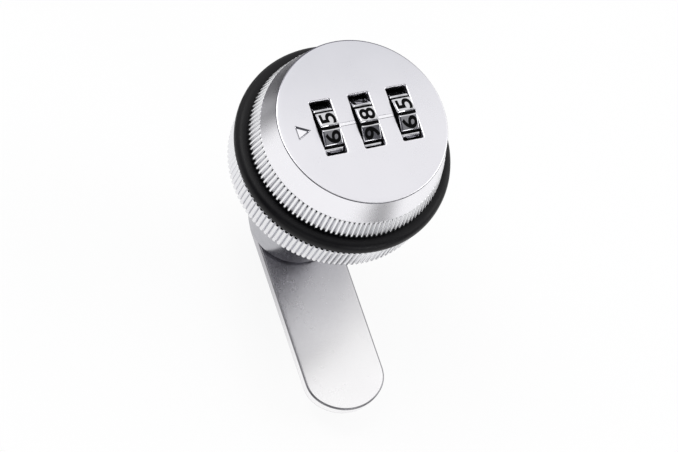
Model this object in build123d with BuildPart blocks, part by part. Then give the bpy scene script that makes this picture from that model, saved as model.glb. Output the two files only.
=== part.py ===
from build123d import *
from math import cos, degrees, hypot, radians, sin
import os

os.makedirs("parts", exist_ok=True)

# Combination lock for a locker door, in millimetres
# Z is the lock's axis, Z = 0 is the outer face of the door, and the dial row runs along X

# Clearances
running_gap = 0.1
part_gap = 0.3
end_play = 0.2
spline_gap = 0.05
square_gap = 0.05
stop_play = 1.0

# Knob
face_height = 13.4
face_wall = 1.2
face_edge_break = 0.35
knob_wall = 1.6
shoulder_height = 6.5
grip_top_height = 7.5
skirt_height = 2.8
skirt_radius = 19.7
skirt_wall = 2.2
grip_taper = 1.1
wall_taper = 1.6
wall_step = 0.06
grip_grooves = 120
groove_width = 0.62
groove_depth = 0.42

# Marks in the face
index_width = 0.55
index_depth = 0.2
arrow_length = 2.7
arrow_width = 2.9
arrow_gap = 1.7
arrow_depth = 0.25

# Dials and their slots
dial_count = 3
dial_pitch = 8.0
dial_row_shift = 0.8
dial_positions = 10
dial_radius = 6.4
dial_width = 3.8
dial_proud = 1.5
dial_bevel = 0.3
dial_groove_width = 0.8
dial_groove_depth = 0.6
dial_rest_angle = 7.0
slot_width = 4.2
slot_length = 11.2
slot_corner = 0.3
slot_bevel = 0.2

# Axle and clips
axle_radius = 1.2
axle_overhang = 1.3
clip_thickness = 0.5
clip_radius = 2.4
clip_groove = 0.25
clip_mouth = 1.8

# Code sleeves
hub_radius = 2.0
spline_core_radius = 2.3
spline_radius = 3.0
spline_width = 0.8
spline_length = 2.6
gate_disc_radius = 3.4
gate_disc_thickness = 0.8

# Locking bar, its follower and the turn that drives it
tooth_thickness = 0.8
tooth_height = 1.4
tooth_bevel = 0.2
bar_inner = 6.8
bar_thickness = 1.6
bar_height = 2.0
bar_end = 0.2
follower_radius = 0.8
follower_inset = 1.1
follower_bottom = 2.0
knob_turn = 90.0
track_points = 9

# Springs and their screws
bar_spring_thickness = 0.25
bar_spring_height = 1.6
bar_spring_folds = 5
bar_spring_room = 5.5
leaf_thickness = 0.3
leaf_spine = 1.6
leaf_wall = 1.4
finger_lift = 1.2
finger_seat = 0.25
detent_finger_width = 2.0
small_screw_radius = 0.6
small_head_radius = 1.1
small_head_thickness = 0.6

# Carrier casting and the screws in its ears
carrier_half_depth = 9.8
carrier_low_radius = 12.3
carrier_step_height = 5.8
carrier_side_gap = 0.2
ear_radius = 2.6
ear_reach = 12.3
ear_thickness = 2.0
boss_radius = 2.2
ear_screw_radius = 0.9
ear_head_radius = 1.8
ear_socket_radius = 0.6
ear_screw_length = 5.0

# Flange, barrel and spindle
gasket_web = 0.6
flange_floor = 1.7
rim_bore_radius = 12.75
rim_height = 5.4
barrel_radius = 9.5
barrel_flat = 8.6
barrel_end = -35.2
barrel_chamfer = 0.5
spindle_radius = 6.0
square_size = 8.0
lug_thickness = 1.1
lug_half_angle = 7.0
lug_angle = -90.0
lug_depth = 2.3

# Gasket and ring nut
gasket_lip = 2.1
gasket_height = 2.5
gasket_bevel = 0.9
door_thickness = 2.1
nut_radius = 21.0
nut_height = 5.7
nut_wall = 1.8
nut_hub_wall = 3.5
nut_floor = 2.2
nut_grooves = 120
nut_groove_width = 0.62
nut_groove_depth = 0.42

# Cam plate and what clamps it
cam_width = 17.0
cam_thickness = 2.4
cam_reach = 41.6
cam_end_swell = 0.9
cam_edge_break = 0.25
washer_radius = 6.5
washer_thickness = 1.0
lock_washer_radius = 4.4
lock_washer_thickness = 1.2
lock_washer_cut = 0.8
cam_screw_radius = 2.45
cam_screw_length = 12.0
cam_screw_hex = 8.0
cam_screw_head = 3.5
cam_screw_bevel = 0.4

# Knob and dial places
grip_top_radius = skirt_radius - grip_taper
grip_share = grip_top_radius / skirt_radius
face_radius = grip_top_radius - wall_taper
face_under = face_height - face_wall
cavity_radius = face_radius - knob_wall
skirt_bore_radius = skirt_radius - skirt_wall
lug_outer_radius = skirt_bore_radius - 2 * part_gap
lug_inner_radius = lug_outer_radius - lug_thickness
flange_radius = skirt_bore_radius - part_gap
gasket_radius = skirt_radius + gasket_lip
axle_height = face_height + dial_proud - dial_radius
dial_side = dial_width / 2
dial_centres = [
    dial_row_shift + (i - (dial_count - 1) / 2) * dial_pitch for i in range(dial_count)
]
groove_angle = 90 + dial_rest_angle
dial_corner_angles = [
    radians(groove_angle + 360 / dial_positions * i) for i in range(dial_positions)
]
dial_corners = [
    (dial_radius * cos(a), axle_height + dial_radius * sin(a)) for a in dial_corner_angles
]

# Places along one dial, measured from its middle: web, gate disc, then the tooth's far lane
bar_travel = tooth_thickness + gate_disc_thickness + 2 * part_gap
disc_right = -dial_side - tooth_thickness - 2 * part_gap
disc_left = disc_right - gate_disc_thickness
tooth_right = disc_left - part_gap
web_right = disc_left - part_gap
web_left = dial_side + part_gap - dial_pitch
gate_width = tooth_height + 2 * part_gap
tooth_tip = hub_radius + part_gap

# Carrier, bar and spring places
dial_cell_radius = dial_radius + part_gap
disc_cell_radius = gate_disc_radius + part_gap
carrier_radius = cavity_radius - carrier_side_gap
carrier_bottom = flange_floor + end_play
carrier_left = dial_centres[0] + web_left
carrier_right = dial_centres[-1] + dial_side + part_gap + web_right - web_left
carrier_length = carrier_right - carrier_left
carrier_middle = (carrier_right + carrier_left) / 2
ear_places = [(0, ear_reach), (0, -ear_reach)]
ear_top = carrier_step_height + ear_thickness
ear_head_height = ear_head_radius - ear_screw_radius
clip_places = [carrier_left - clip_thickness, carrier_right]
bar_outer = bar_inner + bar_thickness
bar_middle = bar_inner + bar_thickness / 2
bar_left = dial_centres[0] + tooth_right - tooth_thickness - bar_end
bar_right = dial_centres[-1] + tooth_right + tooth_thickness
channel_inner = bar_inner - part_gap
channel_outer = bar_outer + part_gap
channel_right = bar_right + bar_spring_room
spring_seat = bar_spring_thickness
follower_x = bar_left + follower_inset
follower_slot_end = follower_x + bar_travel + follower_radius + part_gap
follower_slot = follower_slot_end - carrier_left + 2 * follower_radius
leaf_seat = leaf_wall - carrier_half_depth
leaf_channel = dial_groove_depth - dial_radius - leaf_seat
leaf_left = dial_centres[0] - dial_side
leaf_right = dial_centres[-1] + dial_side
leaf_bottom = carrier_step_height + part_gap
detent_screw_places = [
    ((a + b) / 2, leaf_bottom + leaf_spine / 2) for a, b in zip(dial_centres, dial_centres[1:])
]

# Fixed body and cam places
turn_step = knob_turn / (track_points - 1)
stop_floor = shoulder_height - lug_depth - part_gap
spindle_end = barrel_end - part_gap
cam_bottom = spindle_end - cam_thickness
square_end = cam_bottom + end_play
cam_screw_seat = cam_bottom - washer_thickness - lock_washer_thickness
cam_screw_depth = cam_screw_length + end_play - (square_end - cam_screw_seat)
nut_bottom = -door_thickness - nut_height
cam_end_radius = cam_width / 2 + cam_end_swell


def arc_band(inner, outer, start, end):
    """Draws the face between two arcs about the lock's axis, from one angle to another."""
    with BuildLine() as band:
        near = CenterArc((0, 0), inner, start, end - start)
        far = CenterArc((0, 0), outer, start, end - start)
        Line(near @ 0, far @ 0)
        Line(near @ 1, far @ 1)
    make_face(band.edges())


def cell_profile(radius):
    """Draws a round-bottomed cell about the dial axle, open at the carrier's top."""
    with Locations((0, axle_height)):
        Circle(radius)
    with Locations((0, (axle_height + face_under) / 2)):
        Rectangle(2 * radius, face_under - axle_height)


def turned(x, y, angle):
    """The point (x, y) after a clockwise turn of the knob, seen from the front."""
    c = cos(radians(angle))
    s = sin(radians(angle))
    return (x * c + y * s, y * c - x * s)


def knurled_outline(radius, grooves, width, depth):
    """Draws a round outline with V grooves all round and narrow flat lands between them."""
    half = degrees(width / 2 / radius)
    points = []
    for i in range(grooves):
        middle = 360 / grooves * i
        points.append(turned(radius, 0, half - middle))
        points.append(turned(radius - depth, 0, -middle))
        points.append(turned(radius, 0, -half - middle))
    Polygon(*points, align=None)


def track_wall_point(x, y):
    """The point of the cam track that the follower touches when its centre is at (x, y)."""
    reach = 1 + (follower_radius + running_gap) / hypot(x, y)
    return (x * reach, y * reach)


# Knob shell: knurled grip, conical wall, face with its slots, screw bosses and stop lug
with BuildPart() as knob_shell:
    with BuildSketch(Plane.XY.offset(skirt_height)):
        knurled_outline(skirt_radius, grip_grooves, groove_width, groove_depth)
    with BuildSketch(Plane.XY.offset(grip_top_height)):
        knurled_outline(
            grip_top_radius, grip_grooves, groove_width * grip_share, groove_depth * grip_share
        )
    loft(ruled=True)
    with BuildSketch(Plane.XZ):
        with BuildLine():
            Polyline(
                (0, face_height),
                (face_radius, face_height),
                (grip_top_radius - wall_step, grip_top_height),
                (0, grip_top_height),
                close=True,
            )
        make_face()
    revolve(axis=Axis.Z)
    with BuildSketch(Plane.XY.offset(skirt_height)):
        Circle(skirt_bore_radius)
    extrude(amount=shoulder_height - skirt_height, mode=Mode.SUBTRACT)
    with BuildSketch(Plane.XY.offset(shoulder_height)):
        Circle(cavity_radius)
    extrude(amount=face_under - shoulder_height, mode=Mode.SUBTRACT)
    chamfer(knob_shell.faces().sort_by(Axis.Z)[-1].edges(), face_edge_break)
    with BuildSketch(Plane.XY.offset(face_height)):
        with Locations(*[(x, 0) for x in dial_centres]):
            RectangleRounded(slot_width, slot_length, slot_corner)
    extrude(amount=-face_wall, mode=Mode.SUBTRACT)
    for slot_rim in knob_shell.faces().sort_by(Axis.Z)[-1].inner_wires():
        chamfer(slot_rim.edges(), slot_bevel)
    with BuildSketch(Plane.XY.offset(face_height)):
        for left, right in zip(dial_centres, dial_centres[1:]):
            with Locations(((left + right) / 2, 0)):
                Rectangle(dial_pitch - slot_width, index_width)
    extrude(amount=-index_depth, mode=Mode.SUBTRACT)
    arrow_tip = dial_centres[0] - slot_width / 2 - arrow_gap
    with BuildSketch(Plane.XY.offset(face_height)):
        with BuildLine():
            Polyline(
                (arrow_tip, 0),
                (arrow_tip - arrow_length, arrow_width / 2),
                (arrow_tip - arrow_length, -arrow_width / 2),
                close=True,
            )
        make_face()
    extrude(amount=-arrow_depth, mode=Mode.SUBTRACT)
    with BuildSketch(Plane.XY.offset(ear_top)):
        with Locations(*ear_places):
            Circle(boss_radius)
            Circle(ear_screw_radius, mode=Mode.SUBTRACT)
    extrude(amount=face_under - ear_top)
    with BuildSketch(Plane.XY.offset(shoulder_height - lug_depth)):
        arc_band(
            lug_inner_radius,
            lug_outer_radius,
            lug_angle - lug_half_angle,
            lug_angle + lug_half_angle,
        )
    extrude(amount=lug_depth)
knob_shell.part.label = "knob_shell"
export_step(knob_shell.part, "parts/knob_shell.step")

# Dial carrier: cells for the dials, bearings for the axle, channel for the bar, and the spindle
with BuildPart() as dial_carrier:
    with BuildSketch(Plane.XY.offset(carrier_step_height)):
        Circle(carrier_radius)
        with Locations((carrier_middle, 0)):
            Rectangle(carrier_length, 2 * carrier_half_depth, mode=Mode.INTERSECT)
    extrude(amount=face_under - carrier_step_height)
    with BuildSketch(Plane.XY.offset(carrier_bottom)):
        Circle(carrier_low_radius)
        with Locations((carrier_middle, 0)):
            Rectangle(carrier_length, 2 * carrier_half_depth, mode=Mode.INTERSECT)
    extrude(amount=carrier_step_height - carrier_bottom)
    with BuildSketch(Plane.XY.offset(carrier_step_height)):
        Rectangle(2 * ear_radius, 2 * ear_reach)
        with Locations(*ear_places):
            Circle(ear_radius)
    extrude(amount=ear_thickness)
    with BuildSketch(Plane.XY.offset(spindle_end)):
        Circle(spindle_radius)
    extrude(amount=carrier_bottom - spindle_end)
    with BuildSketch(Plane.XY.offset(square_end)):
        Rectangle(square_size, square_size)
    extrude(amount=spindle_end - square_end)
    for x in dial_centres:
        with BuildSketch(Plane.YZ.offset(x - dial_side - part_gap)):
            cell_profile(dial_cell_radius)
        extrude(amount=dial_width + 2 * part_gap, mode=Mode.SUBTRACT)
        with BuildSketch(Plane.YZ.offset(x + web_right)):
            cell_profile(disc_cell_radius)
        extrude(amount=-dial_side - web_right, mode=Mode.SUBTRACT)
        with BuildSketch(Plane.YZ.offset(x + web_left)):
            with Locations(((tooth_tip + channel_outer) / 2 - part_gap / 2, axle_height)):
                Rectangle(channel_outer - tooth_tip + part_gap, tooth_height + 2 * part_gap)
        extrude(amount=-dial_side - web_left, mode=Mode.SUBTRACT)
    with BuildSketch(Plane.YZ.offset(carrier_left)):
        with Locations((bar_middle, axle_height)):
            Rectangle(channel_outer - channel_inner, bar_height + 2 * part_gap)
    extrude(amount=channel_right - carrier_left, mode=Mode.SUBTRACT)
    with BuildSketch(Plane.XY.offset(carrier_bottom)):
        with Locations((follower_slot_end - follower_slot / 2, bar_middle)):
            SlotOverall(follower_slot, 2 * (follower_radius + part_gap))
    extrude(amount=axle_height - carrier_bottom, mode=Mode.SUBTRACT)
    with BuildSketch(Plane.XY.offset(carrier_step_height)):
        with Locations(((leaf_left + leaf_right) / 2, leaf_seat + leaf_channel / 2)):
            Rectangle(leaf_right - leaf_left + 2 * part_gap, leaf_channel)
    extrude(amount=face_under - carrier_step_height, mode=Mode.SUBTRACT)
    with BuildSketch(Plane.XZ.offset(-leaf_seat)):
        with Locations(*detent_screw_places):
            Circle(small_screw_radius)
    extrude(amount=leaf_wall, mode=Mode.SUBTRACT)
    with BuildSketch(Plane.YZ.offset(carrier_left)):
        with Locations((0, axle_height)):
            Circle(axle_radius)
    extrude(amount=carrier_length, mode=Mode.SUBTRACT)
    for x, y in ear_places:
        with Locations(Plane((x, y, carrier_step_height), z_dir=(0, 0, -1))):
            CounterSinkHole(ear_screw_radius, ear_head_radius, ear_thickness)
    with BuildSketch(Plane.XY.offset(square_end)):
        Circle(cam_screw_radius)
    extrude(amount=cam_screw_depth, mode=Mode.SUBTRACT)
dial_carrier.part.label = "dial_carrier"
export_step(dial_carrier.part, "parts/dial_carrier.step")

# Countersunk screws that hold the carrier's ears to the knob's bosses
with BuildPart() as carrier_screws:
    for x, y in ear_places:
        with BuildSketch(Plane.XZ.offset(-y)):
            with BuildLine():
                Polyline(
                    (x, carrier_step_height),
                    (x + ear_head_radius, carrier_step_height),
                    (x + ear_screw_radius, carrier_step_height + ear_head_height),
                    (x + ear_screw_radius, carrier_step_height + ear_screw_length),
                    (x, carrier_step_height + ear_screw_length),
                    close=True,
                )
            make_face()
        revolve(axis=Axis((x, y, 0), (0, 0, 1)))
        with Locations(Plane((x, y, carrier_step_height), z_dir=(0, 0, -1))):
            Hole(ear_socket_radius, ear_head_height / 2)
carrier_screws.part.label = "carrier_screws"
export_step(carrier_screws.part, "parts/carrier_screws.step")

# Axle through the carrier's webs, with a clip groove near each end
with BuildPart() as dial_axle:
    with BuildSketch(Plane.YZ.offset(carrier_left - axle_overhang)):
        with Locations((0, axle_height)):
            Circle(axle_radius)
    extrude(amount=carrier_length + 2 * axle_overhang)
    for place in clip_places:
        with BuildSketch(Plane.YZ.offset(place)):
            with Locations((0, axle_height)):
                Circle(axle_radius)
                Circle(axle_radius - clip_groove, mode=Mode.SUBTRACT)
        extrude(amount=clip_thickness, mode=Mode.SUBTRACT)
dial_axle.part.label = "dial_axle"
export_step(dial_axle.part, "parts/dial_axle.step")

with BuildPart() as axle_clips:
    for place in clip_places:
        with BuildSketch(Plane.YZ.offset(place)):
            with Locations((0, axle_height)):
                Circle(clip_radius)
                Circle(axle_radius - clip_groove, mode=Mode.SUBTRACT)
            with Locations((0, axle_height + clip_radius / 2)):
                Rectangle(clip_mouth, clip_radius, mode=Mode.SUBTRACT)
        extrude(amount=clip_thickness)
axle_clips.part.label = "axle_clips"
export_step(axle_clips.part, "parts/axle_clips.step")

# Dials and code sleeves, in pairs: the sleeve's splines set which digit its gate belongs to
for number, x in enumerate(dial_centres, 1):
    with BuildPart() as dial_wheel:
        with BuildSketch(Plane.YZ.offset(x - dial_side)):
            with BuildLine():
                Polyline(*dial_corners, close=True)
            make_face()
        extrude(amount=dial_width)
        chamfer(dial_wheel.faces().filter_by(Axis.X).edges(), dial_bevel)
        with BuildSketch(Plane.YZ.offset(x - dial_side)):
            with Locations((0, axle_height)):
                with PolarLocations(dial_radius, dial_positions, groove_angle):
                    Rectangle(2 * dial_groove_depth, dial_groove_width)
        extrude(amount=dial_width, mode=Mode.SUBTRACT)
        with BuildSketch(Plane.YZ.offset(x - dial_side)):
            with Locations((0, axle_height)):
                Circle(axle_radius + running_gap)
        extrude(amount=dial_width, mode=Mode.SUBTRACT)
        with BuildSketch(Plane.YZ.offset(x - dial_side)):
            with Locations((0, axle_height)):
                Circle(spline_core_radius + spline_gap)
                with PolarLocations(spline_radius / 2, dial_positions):
                    Rectangle(spline_radius + 2 * spline_gap, spline_width + 2 * spline_gap)
        extrude(amount=spline_length + spline_gap, mode=Mode.SUBTRACT)
    dial_wheel.part.label = f"dial_wheel_{number}"
    export_step(dial_wheel.part, f"parts/dial_wheel_{number}.step")

    with BuildPart() as code_sleeve:
        with BuildSketch(Plane.YZ.offset(x + disc_left)):
            with Locations((0, axle_height)):
                Circle(gate_disc_radius)
            with Locations((hub_radius + gate_disc_radius / 2, axle_height)):
                Rectangle(gate_disc_radius, gate_width, mode=Mode.SUBTRACT)
        extrude(amount=gate_disc_thickness)
        with BuildSketch(Plane.YZ.offset(x + disc_left)):
            with Locations((0, axle_height)):
                Circle(hub_radius)
        extrude(amount=-dial_side - disc_left)
        with BuildSketch(Plane.YZ.offset(x - dial_side)):
            with Locations((0, axle_height)):
                Circle(spline_core_radius)
                with PolarLocations(spline_radius / 2, dial_positions):
                    Rectangle(spline_radius, spline_width)
        extrude(amount=spline_length)
        with BuildSketch(Plane.YZ.offset(x + disc_left)):
            with Locations((0, axle_height)):
                Circle(axle_radius + running_gap)
        extrude(amount=spline_length - dial_side - disc_left, mode=Mode.SUBTRACT)
    code_sleeve.part.label = f"code_sleeve_{number}"
    export_step(code_sleeve.part, f"parts/code_sleeve_{number}.step")

# Locking bar: a tooth beside each gate disc, and a round follower on the cam track
with BuildPart() as locking_bar:
    with BuildSketch(Plane.YZ.offset(bar_left)):
        with Locations((bar_middle, axle_height)):
            Rectangle(bar_thickness, bar_height)
    extrude(amount=bar_right - bar_left)
    for x in dial_centres:
        with BuildSketch(Plane.YZ.offset(x + tooth_right)):
            with Locations(((tooth_tip + bar_inner) / 2, axle_height)):
                Rectangle(bar_inner - tooth_tip, tooth_height)
        extrude(amount=-tooth_thickness)
    tooth_ends = locking_bar.faces().filter_by(Axis.Y).group_by(Axis.Y)[0].edges()
    chamfer(tooth_ends.filter_by(Axis.Z), tooth_bevel)
    with BuildSketch(Plane.XY.offset(follower_bottom)):
        with Locations((follower_x, bar_middle)):
            Circle(follower_radius)
    extrude(amount=axle_height - follower_bottom)
locking_bar.part.label = "locking_bar"
export_step(locking_bar.part, "parts/locking_bar.step")

# Folded spring that pushes the bar back towards the start of the cam track
fold_pitch = (channel_right - bar_right - 2 * spring_seat) / (bar_spring_folds + 1)
fold_swing = bar_thickness / 2 - bar_spring_thickness
fold_points = [
    (bar_right + spring_seat + fold_pitch * i, bar_middle + fold_swing * (-1) ** i)
    for i in range(1, bar_spring_folds + 1)
]
with BuildPart() as bar_spring:
    with BuildSketch(Plane.XY.offset(axle_height - bar_spring_height / 2)):
        with BuildLine():
            Polyline(
                (bar_right + spring_seat, bar_middle),
                *fold_points,
                (channel_right - spring_seat, bar_middle),
            )
            offset(amount=bar_spring_thickness / 2)
        make_face()
    extrude(amount=bar_spring_height)
bar_spring.part.label = "bar_spring"
export_step(bar_spring.part, "parts/bar_spring.step")

# Leaf with one finger for each dial, that rests in the dial's groove and clicks as it turns
finger_angle = radians(90 + dial_rest_angle + 2 * 360 / dial_positions)
finger_knee = dial_radius + finger_lift
finger_tip = dial_radius - finger_seat
with BuildPart() as detent_spring:
    with BuildSketch(Plane.XZ.offset(-leaf_seat)):
        with Locations(((leaf_left + leaf_right) / 2, leaf_bottom + leaf_spine / 2)):
            Rectangle(leaf_right - leaf_left, leaf_spine)
        with Locations(*detent_screw_places):
            Circle(small_screw_radius, mode=Mode.SUBTRACT)
    extrude(amount=-leaf_thickness)
    for x in dial_centres:
        with BuildSketch(Plane.YZ.offset(x - detent_finger_width / 2)):
            with BuildLine():
                Polyline(
                    (leaf_seat + leaf_thickness / 2, leaf_bottom + leaf_spine / 2),
                    (leaf_seat + leaf_thickness / 2, axle_height),
                    (
                        finger_knee * cos(finger_angle),
                        axle_height + finger_knee * sin(finger_angle),
                    ),
                    (
                        finger_tip * cos(finger_angle),
                        axle_height + finger_tip * sin(finger_angle),
                    ),
                )
                offset(amount=leaf_thickness / 2)
            make_face()
        extrude(amount=detent_finger_width)
detent_spring.part.label = "detent_spring"
export_step(detent_spring.part, "parts/detent_spring.step")

with BuildPart() as detent_screws:
    with BuildSketch(Plane.XZ.offset(-leaf_seat - leaf_thickness)):
        with Locations(*detent_screw_places):
            Circle(small_head_radius)
    extrude(amount=-small_head_thickness)
    with BuildSketch(Plane.XZ.offset(-leaf_seat - leaf_thickness)):
        with Locations(*detent_screw_places):
            Circle(small_screw_radius)
    extrude(amount=leaf_thickness + leaf_wall)
detent_screws.part.label = "detent_screws"
export_step(detent_screws.part, "parts/detent_screws.step")

# Fixed body: flange and rim with the cam track and the turn stops, and the barrel
track_centres = [
    turned(follower_x + bar_travel * i / (track_points - 1), bar_middle, turn_step * i)
    for i in range(track_points)
]
with BuildPart() as barrel_body:
    with BuildSketch(Plane.XY.offset(gasket_web)):
        Circle(flange_radius)
    extrude(amount=rim_height - gasket_web)
    with BuildSketch(Plane.XY.offset(flange_floor)):
        Circle(rim_bore_radius)
    extrude(amount=rim_height - flange_floor, mode=Mode.SUBTRACT)
    with BuildSketch(Plane.XY.offset(flange_floor)):
        with BuildLine():
            track_wall = Spline(*[track_wall_point(x, y) for x, y in track_centres])
            Line(track_wall @ 1, (0, 0))
            Line((0, 0), track_wall @ 0)
        make_face()
        with Locations(track_centres[0], track_centres[-1]):
            Circle(follower_radius + running_gap)
    extrude(amount=rim_height - flange_floor, mode=Mode.SUBTRACT)
    with BuildSketch(Plane.XY.offset(stop_floor)):
        arc_band(
            lug_inner_radius - part_gap,
            flange_radius + part_gap,
            lug_angle - knob_turn - lug_half_angle - stop_play,
            lug_angle + lug_half_angle + stop_play,
        )
    extrude(amount=rim_height - stop_floor, mode=Mode.SUBTRACT)
    with BuildSketch(Plane.XY.offset(barrel_end)):
        Circle(barrel_radius)
        with Locations((0, barrel_flat - barrel_radius)):
            Rectangle(2 * barrel_radius, 2 * barrel_radius, mode=Mode.INTERSECT)
    extrude(amount=gasket_web - barrel_end)
    with BuildSketch(Plane.XY.offset(barrel_end)):
        Circle(spindle_radius + running_gap)
    extrude(amount=flange_floor - barrel_end, mode=Mode.SUBTRACT)
    chamfer(barrel_body.faces().sort_by(Axis.Z)[0].edges(), barrel_chamfer)
barrel_body.part.label = "barrel_body"
export_step(barrel_body.part, "parts/barrel_body.step")

# Gasket: a thin web under the flange and a round-edged bead around it
with BuildPart() as gasket:
    with BuildSketch(Plane.XZ) as gasket_section:
        with Locations((barrel_radius + part_gap, 0)):
            Rectangle(
                gasket_radius - barrel_radius - part_gap,
                gasket_web,
                align=(Align.MIN, Align.MIN),
            )
        with Locations((skirt_bore_radius, 0)):
            Rectangle(
                gasket_radius - skirt_bore_radius,
                gasket_height,
                align=(Align.MIN, Align.MIN),
            )
        outer_corners = gasket_section.vertices().group_by(Axis.X)[-1]
        chamfer(outer_corners, gasket_bevel)
    revolve(axis=Axis.Z)
gasket.part.label = "gasket"
export_step(gasket.part, "parts/gasket.step")

# Ring nut: a knurled cup whose hub runs on the barrel
with BuildPart() as ring_nut:
    with BuildSketch(Plane.XY.offset(nut_bottom)):
        knurled_outline(nut_radius, nut_grooves, nut_groove_width, nut_groove_depth)
    extrude(amount=nut_height)
    with BuildSketch(Plane.XY.offset(nut_bottom + nut_floor)):
        Circle(nut_radius - nut_wall)
        Circle(barrel_radius + nut_hub_wall, mode=Mode.SUBTRACT)
    extrude(amount=nut_height - nut_floor, mode=Mode.SUBTRACT)
    with BuildSketch(Plane.XY.offset(nut_bottom)):
        Circle(barrel_radius)
    extrude(amount=nut_height, mode=Mode.SUBTRACT)
ring_nut.part.label = "ring_nut"
export_step(ring_nut.part, "parts/ring_nut.step")

# Cam plate: round about the spindle, long straight sides and a full round end
end_drop = (cam_end_radius**2 - (cam_width / 2) ** 2) ** 0.5
cam_shoulder = cam_end_radius - cam_reach - end_drop
with BuildPart() as cam_plate:
    with BuildSketch(Plane.XY.offset(cam_bottom)):
        with BuildLine():
            Line((-cam_width / 2, 0), (-cam_width / 2, cam_shoulder))
            ThreePointArc(
                (-cam_width / 2, cam_shoulder), (0, -cam_reach), (cam_width / 2, cam_shoulder)
            )
            Line((cam_width / 2, cam_shoulder), (cam_width / 2, 0))
            ThreePointArc((cam_width / 2, 0), (0, cam_width / 2), (-cam_width / 2, 0))
        make_face()
        Rectangle(
            square_size + 2 * square_gap, square_size + 2 * square_gap, mode=Mode.SUBTRACT
        )
    extrude(amount=cam_thickness)
    cam_rims = cam_plate.faces().filter_by(Axis.Z)
    for rim in cam_rims:
        chamfer(rim.outer_wire().edges(), cam_edge_break)
cam_plate.part.label = "cam_plate"
export_step(cam_plate.part, "parts/cam_plate.step")

# Washers and screw that clamp the cam to the end of the spindle
with BuildPart() as end_washer:
    with BuildSketch(Plane.XY.offset(cam_bottom - washer_thickness)):
        Circle(washer_radius)
        Circle(cam_screw_radius + part_gap, mode=Mode.SUBTRACT)
    extrude(amount=washer_thickness)
end_washer.part.label = "end_washer"
export_step(end_washer.part, "parts/end_washer.step")

with BuildPart() as lock_washer:
    with BuildSketch(Plane.XY.offset(cam_screw_seat)):
        Circle(lock_washer_radius)
        Circle(cam_screw_radius + part_gap, mode=Mode.SUBTRACT)
        with Locations((0, lock_washer_radius / 2)):
            Rectangle(lock_washer_cut, lock_washer_radius, mode=Mode.SUBTRACT)
    extrude(amount=lock_washer_thickness)
lock_washer.part.label = "lock_washer"
export_step(lock_washer.part, "parts/lock_washer.step")

with BuildPart() as cam_screw:
    with BuildSketch(Plane.XY.offset(cam_screw_seat - cam_screw_head)):
        RegularPolygon(cam_screw_hex / 2, 6, major_radius=False)
    extrude(amount=cam_screw_head)
    chamfer(cam_screw.faces().sort_by(Axis.Z)[0].edges(), cam_screw_bevel)
    with BuildSketch(Plane.XY.offset(cam_screw_seat)):
        Circle(cam_screw_radius)
    extrude(amount=cam_screw_length)
cam_screw.part.label = "cam_screw"
export_step(cam_screw.part, "parts/cam_screw.step")
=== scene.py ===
"""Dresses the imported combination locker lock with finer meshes, finishes, a floor and lamps.

Every size is in millimetres and turns to metres when a mesh is made. The lock's axis is Z, the
door's outer face is Z = 0, and the row of dials runs along X.
"""

from __future__ import annotations

import logging
from dataclasses import dataclass, field
from enum import Enum, IntEnum
from math import asin, cos, hypot, pi, radians, sin, sqrt, tau
from typing import Any, Iterable, Sequence

import bmesh
import bpy
from mathutils import Matrix, Vector
from mathutils.geometry import delaunay_2d_cdt

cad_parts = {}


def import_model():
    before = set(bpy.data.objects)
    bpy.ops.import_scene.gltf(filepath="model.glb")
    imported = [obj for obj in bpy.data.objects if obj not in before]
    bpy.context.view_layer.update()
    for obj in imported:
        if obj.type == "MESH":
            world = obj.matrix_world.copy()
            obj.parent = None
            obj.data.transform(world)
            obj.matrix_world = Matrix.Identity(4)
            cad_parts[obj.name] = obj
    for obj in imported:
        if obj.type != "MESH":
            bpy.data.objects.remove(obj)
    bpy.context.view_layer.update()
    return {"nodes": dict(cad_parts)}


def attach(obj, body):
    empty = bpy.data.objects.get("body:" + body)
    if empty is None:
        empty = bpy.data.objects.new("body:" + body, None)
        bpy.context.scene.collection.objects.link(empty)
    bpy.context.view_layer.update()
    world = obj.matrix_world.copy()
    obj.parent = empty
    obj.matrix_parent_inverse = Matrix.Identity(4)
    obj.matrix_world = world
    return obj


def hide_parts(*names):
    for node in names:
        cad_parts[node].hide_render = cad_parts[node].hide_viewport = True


MM = 0.001
LOG = logging.getLogger("combination_lock")
# Points closer than this become one, and shorter edges go, both in metres
MERGE_DISTANCE = 2e-7
SHORTEST_EDGE = 1e-7
# How close, in millimetres, the spots of a filled outline may come before they are the same
FILL_TOLERANCE = 1e-7
# How many lines the round corner of a rectangle has
CORNER_STEPS = 4
# Nearly all values of soft noise lie between these
NOISE_RANGE = (0.35, 0.65)
# Each dial's middle along X, the digit that shows, and the angle of the groove after that digit
DIALS = ((-7.2, 5, 95.2), (0.8, 8, 100.8), (8.8, 5, 95.0))

Point = tuple[float, float, float]
Spot = tuple[float, float]
Tree = bpy.types.NodeTree
Socket = bpy.types.NodeSocket


class Body(Enum):
    """The moving bodies that a piece can ride on."""

    BARREL = "barrel"
    KNOB = "knob"
    DIAL_1 = "dial_1"
    DIAL_2 = "dial_2"
    DIAL_3 = "dial_3"


class Look(IntEnum):
    """The knob's finishes, by their places in its list of materials."""

    FACE = 0
    LAND = 1
    CASTING = 2
    TURNED = 3
    ROOT = 4
    BLACK = 5
    FLANK = 6
    EDGE = 7


class Area(IntEnum):
    """The other pieces' finishes, by their places in a list of materials."""

    MAIN = 0
    DETAIL = 1
    FLANK = 2


def linear(code: str) -> tuple[float, float, float, float]:
    """Turns an sRGB hex colour to the linear colour that the shader takes.

    Args:
        code: Six hex digits after a hash sign.

    Returns:
        Linear red, green and blue, and an alpha of 1.
    """
    shares = [int(code[i : i + 2], 16) / 255 for i in (1, 3, 5)]
    red, green, blue = (
        s / 12.92 if s <= 0.04045 else ((s + 0.055) / 1.055) ** 2.4 for s in shares
    )
    return red, green, blue, 1.0


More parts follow.
